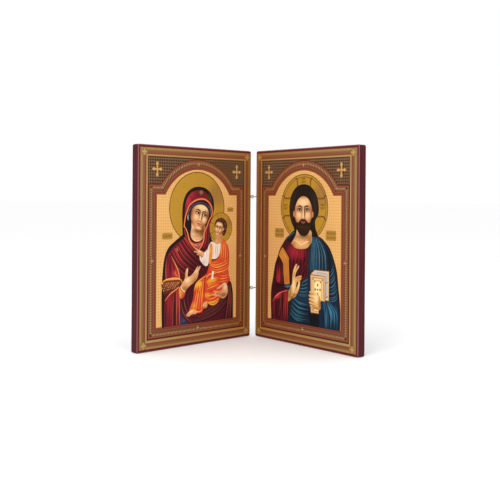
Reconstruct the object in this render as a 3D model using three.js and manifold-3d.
// Diptych icon: two small lacquered boards, each with a printed foil sheet glued to its face,
// hinged edge to edge by two pairs of linked eye pins, so that it stands open like a book.
// Millimetres, +Z up. The open side faces -Y, the hinge is at the back near X = 0, and the origin
// is in the middle of the footprint.
import * as THREE from "three";
import { mergeVertices } from "three/addons/utils/BufferGeometryUtils.js";
import Module from "manifold-3d";

const wasm = await Module();
wasm.setup();

// Boards
const PANEL_WIDTH = 120;
const PANEL_HEIGHT = 160;
const PANEL_THICKNESS = 8;
const PANEL_CORNER_RADIUS = 1.6; // seen from the front
const PANEL_ARRIS = 1; // rounding of the edges between the faces and the narrow sides

// Printed sheets
const PRINT_SIDE_MARGIN = 1.75; // bare board beside the sheet
const PRINT_END_MARGIN = 2.2; // bare board above and below the sheet
const PRINT_THICKNESS = 0.3;
const PRINT_CORNER_RADIUS = 0.4;
const GLUE_LINE = 0.2;

// How the two leaves stand and close
const REST_OPENING = 85.4; // degrees between the two pictures
const CLOSED_GAP = 0.5; // air between the two sheets when the leaves are folded together

// Eye pins, bent from wire
const WIRE_DIAMETER = 0.8;
const LINK_CLEARANCE = 0.15; // least air between two linked eyes
const LINK_SLACK = 0.2; // extra room in an eye for the one that it holds
const EYE_EDGE_GAP = 0.45; // air between the eyes and the edge of the board
const BEND_EDGE_GAP = 0.4; // where the wire turns towards the board, measured from its edge
const BEND_LENGTH = 0.7; // straight wire that each half of the bend takes up
const SHANK_DEPTH = 2.4; // from the board's face to the middle of the shank
const SHANK_LENGTH = 9; // hidden in the board
const HOLE_CLEARANCE = 0.15; // all round the shank, and at its end
const UPPER_PIN_DROP = 39.4; // from the top of the boards
const LOWER_PIN_RISE = 41.6; // from the bottom of the boards

// Smoothness of the round forms
const CORNER_SEGMENTS = 3;
const ARRIS_SEGMENTS = 3;
const WIRE_SIDES = 12;
const EYE_SEGMENTS = 28;
const SHANK_STEPS = 18;
const HOLE_SIDES = 16;

const WIRE_RADIUS = WIRE_DIAMETER / 2;
const EYE_RADIUS = WIRE_DIAMETER + LINK_CLEARANCE + LINK_SLACK; // to the middle of the wire
const EDGE_TO_AXIS = EYE_RADIUS + LINK_SLACK + WIRE_RADIUS + EYE_EDGE_GAP;
const FACE_TO_AXIS = GLUE_LINE + PRINT_THICKNESS + CLOSED_GAP / 2; // the axis is before the face
const BEND_OUT = EDGE_TO_AXIS - BEND_EDGE_GAP;
const BEND_BACK = FACE_TO_AXIS + SHANK_DEPTH;
const PIN_HEIGHTS = { upper: PANEL_HEIGHT - UPPER_PIN_DROP, lower: LOWER_PIN_RISE };

const lacquer = new THREE.MeshStandardMaterial({ color: 0x5c2529, roughness: 0.38, metalness: 0 });
const foil = new THREE.MeshStandardMaterial({ color: 0xc39455, roughness: 0.36, metalness: 0.35 });
const brass = new THREE.MeshStandardMaterial({ color: 0xc2a565, roughness: 0.3, metalness: 1 });

/** A rectangle with round corners, centred on the origin. */
function roundedRectangle(width, height, radius) {
  const x = width / 2 - radius;
  const y = height / 2 - radius;
  const shape = new THREE.Shape();
  shape.absarc(x, -y, radius, -Math.PI / 2, 0);
  shape.absarc(x, y, radius, 0, Math.PI / 2);
  shape.absarc(-x, y, radius, Math.PI / 2, Math.PI);
  shape.absarc(-x, -y, radius, Math.PI, 1.5 * Math.PI);
  shape.closePath();
  return shape;
}

/** Leaves a geometry with nothing but places, and one vertex where faces meet. */
function merged(geometry) {
  geometry.deleteAttribute("normal");
  geometry.deleteAttribute("uv");
  return mergeVertices(geometry, 1e-4);
}

function toSolid(geometry) {
  const closed = merged(geometry);
  return new wasm.Manifold(
    new wasm.Mesh({
      numProp: 3,
      vertProperties: new Float32Array(closed.attributes.position.array),
      triVerts: new Uint32Array(closed.index.array),
    }),
  );
}

function toGeometry(solid) {
  const mesh = solid.getMesh();
  const geometry = new THREE.BufferGeometry();
  geometry.setAttribute("position", new THREE.BufferAttribute(mesh.vertProperties, mesh.numProp));
  geometry.setIndex(new THREE.BufferAttribute(mesh.triVerts, 1));
  geometry.computeVertexNormals();
  return geometry;
}

function namedMesh(name, geometry, material) {
  const mesh = new THREE.Mesh(geometry, material);
  mesh.name = name;
  return mesh;
}

/** A slab that stands up, facing -Y, with its face at y = 0 and its middle over the origin. */
function standingSlab(width, height, thickness, cornerRadius, arris) {
  const inner = cornerRadius - arris;
  const geometry = new THREE.ExtrudeGeometry(
    roundedRectangle(width - 2 * arris, height - 2 * arris, inner),
    {
      depth: thickness - 2 * arris,
      bevelEnabled: arris > 0,
      bevelSize: arris,
      bevelThickness: arris,
      bevelSegments: ARRIS_SEGMENTS,
      curveSegments: CORNER_SEGMENTS,
    },
  );
  geometry.translate(0, 0, arris - thickness);
  geometry.rotateX(Math.PI / 2);
  return geometry;
}

/** A blind hole for a shank, bored into the edge that faces the hinge. */
function shankHole(side, height) {
  const overshoot = PANEL_ARRIS;
  const length = SHANK_LENGTH + HOLE_CLEARANCE + overshoot;
  const radius = WIRE_RADIUS + HOLE_CLEARANCE;
  const hole = new THREE.CylinderGeometry(radius, radius, length, HOLE_SIDES);
  hole.rotateZ(Math.PI / 2);
  hole.translate(side * (EDGE_TO_AXIS - overshoot + length / 2), BEND_BACK, height);
  return toSolid(hole);
}

/** The lacquered board of one leaf. Side is -1 on the left and 1 on the right. */
function panelGeometry(side) {
  const slab = standingSlab(
    PANEL_WIDTH,
    PANEL_HEIGHT,
    PANEL_THICKNESS,
    PANEL_CORNER_RADIUS,
    PANEL_ARRIS,
  );
  slab.translate(side * (EDGE_TO_AXIS + PANEL_WIDTH / 2), FACE_TO_AXIS, PANEL_HEIGHT / 2);
  let board = toSolid(slab);
  for (const height of Object.values(PIN_HEIGHTS)) {
    board = board.subtract(shankHole(side, height));
  }
  return toGeometry(board);
}

/** The printed sheet, in front of the board by the thickness of the glue. */
function printGeometry(side) {
  const sheet = standingSlab(
    PANEL_WIDTH - 2 * PRINT_SIDE_MARGIN,
    PANEL_HEIGHT - 2 * PRINT_END_MARGIN,
    PRINT_THICKNESS,
    PRINT_CORNER_RADIUS,
    0,
  );
  sheet.translate(
    side * (EDGE_TO_AXIS + PANEL_WIDTH / 2),
    FACE_TO_AXIS - GLUE_LINE - PRINT_THICKNESS,
    PANEL_HEIGHT / 2,
  );
  return merged(sheet);
}

/** The line along the middle of the wire, from the back of the eye into the board. */
function shankPath(side, bend, eyeEnd) {
  const towardsBoard = new THREE.Vector3(side, 0, 0);
  const towardsEye = bend.clone().normalize().negate();
  const beforeBend = bend.clone().addScaledVector(towardsEye, BEND_LENGTH);
  const afterBend = bend.clone().addScaledVector(towardsBoard, BEND_LENGTH);
  const inBoard = bend.clone().setX(side * (EDGE_TO_AXIS + SHANK_LENGTH));
  const path = new THREE.CurvePath();
  path.add(new THREE.LineCurve3(eyeEnd, beforeBend));
  path.add(new THREE.QuadraticBezierCurve3(beforeBend, bend, afterBend));
  path.add(new THREE.LineCurve3(afterBend, inBoard));
  return path;
}

/**
 * An eye pin. The hinge axis runs through the middle of the wire at the tip of each upright eye,
 * and each level eye, on the other leaf, reaches round it.
 */
function eyePinGeometry(side, upright, height) {
  const up = new THREE.Vector3(0, 0, 1);
  const bend = new THREE.Vector3(side * BEND_OUT, BEND_BACK, 0);
  const outward = bend.clone().normalize();
  const centreDistance = upright ? EYE_RADIUS : LINK_SLACK;

  const eye = new THREE.TorusGeometry(EYE_RADIUS, WIRE_RADIUS, WIRE_SIDES, EYE_SEGMENTS);
  if (upright) {
    const across = new THREE.Vector3().crossVectors(outward, up);
    eye.applyMatrix4(new THREE.Matrix4().makeBasis(outward, up, across));
  }
  eye.translate(...outward.clone().multiplyScalar(centreDistance));

  const eyeEnd = outward.clone().multiplyScalar(centreDistance + EYE_RADIUS);
  const section = new THREE.Shape().absarc(0, 0, WIRE_RADIUS, 0, 2 * Math.PI);
  const shank = new THREE.ExtrudeGeometry(section, {
    extrudePath: shankPath(side, bend, eyeEnd),
    steps: SHANK_STEPS,
    curveSegments: WIRE_SIDES / 2,
  });

  const pin = toGeometry(toSolid(eye).add(toSolid(shank)));
  pin.translate(0, 0, height);
  return pin;
}

/** One leaf, with the hinge axis as its own Z axis. */
function makeLeaf(name, side, upright) {
  const leaf = new THREE.Group();
  leaf.add(namedMesh(`${name}_panel`, panelGeometry(side), lacquer));
  leaf.add(namedMesh(`${name}_print`, printGeometry(side), foil));
  for (const [level, height] of Object.entries(PIN_HEIGHTS)) {
    const pin = eyePinGeometry(side, upright, height);
    leaf.add(namedMesh(`${name}_${level}_eye_pin`, pin, brass));
  }
  const swing = THREE.MathUtils.degToRad(90 - REST_OPENING / 2);
  leaf.rotation.z = -side * swing;
  return leaf;
}

const diptych = new THREE.Group();
diptych.add(makeLeaf("left", -1, true));
diptych.add(makeLeaf("right", 1, false));

const middle = new THREE.Box3().setFromObject(diptych, true).getCenter(new THREE.Vector3());
diptych.position.set(-middle.x, -middle.y, 0);
diptych.updateMatrixWorld(true);

export default diptych;
